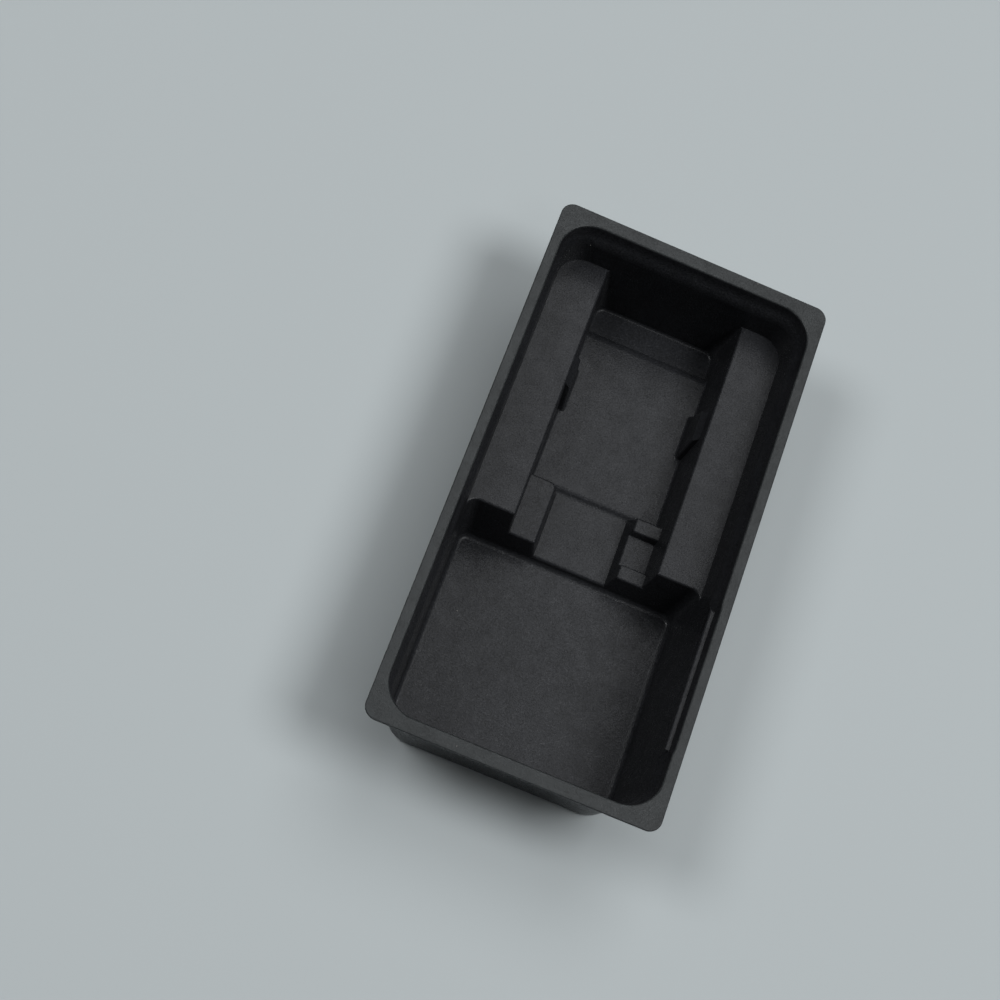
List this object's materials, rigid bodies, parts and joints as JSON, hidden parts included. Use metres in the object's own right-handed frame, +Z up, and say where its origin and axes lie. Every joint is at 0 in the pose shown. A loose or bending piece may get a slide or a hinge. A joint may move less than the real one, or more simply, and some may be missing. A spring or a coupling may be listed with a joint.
{
  "type": "molded pulp insert tray",
  "caption": "Dark pressed pulp tray with a flat rim, a wide compartment at one end and a railed pocket with snap bumps, saddle block and end trench at the other.",
  "frame": {"origin": "centre of the tray's outline in plan, on the plane its base stands on", "axes": "+X across the tray towards the side with the saddle block and the stacking ledge; +Y along the tray from the wide compartment to the end trench; +Z up, out of the open side"},
  "size_m": [0.1, 0.1984, 0.046],
  "materials": {
    "pulp": "wet-pressed black molded pulp, smooth matte with faint fibre grain"
  },
  "bodies": {
    "root": {"pulp_tray": "pulp"}
  },
  "joints": []
}
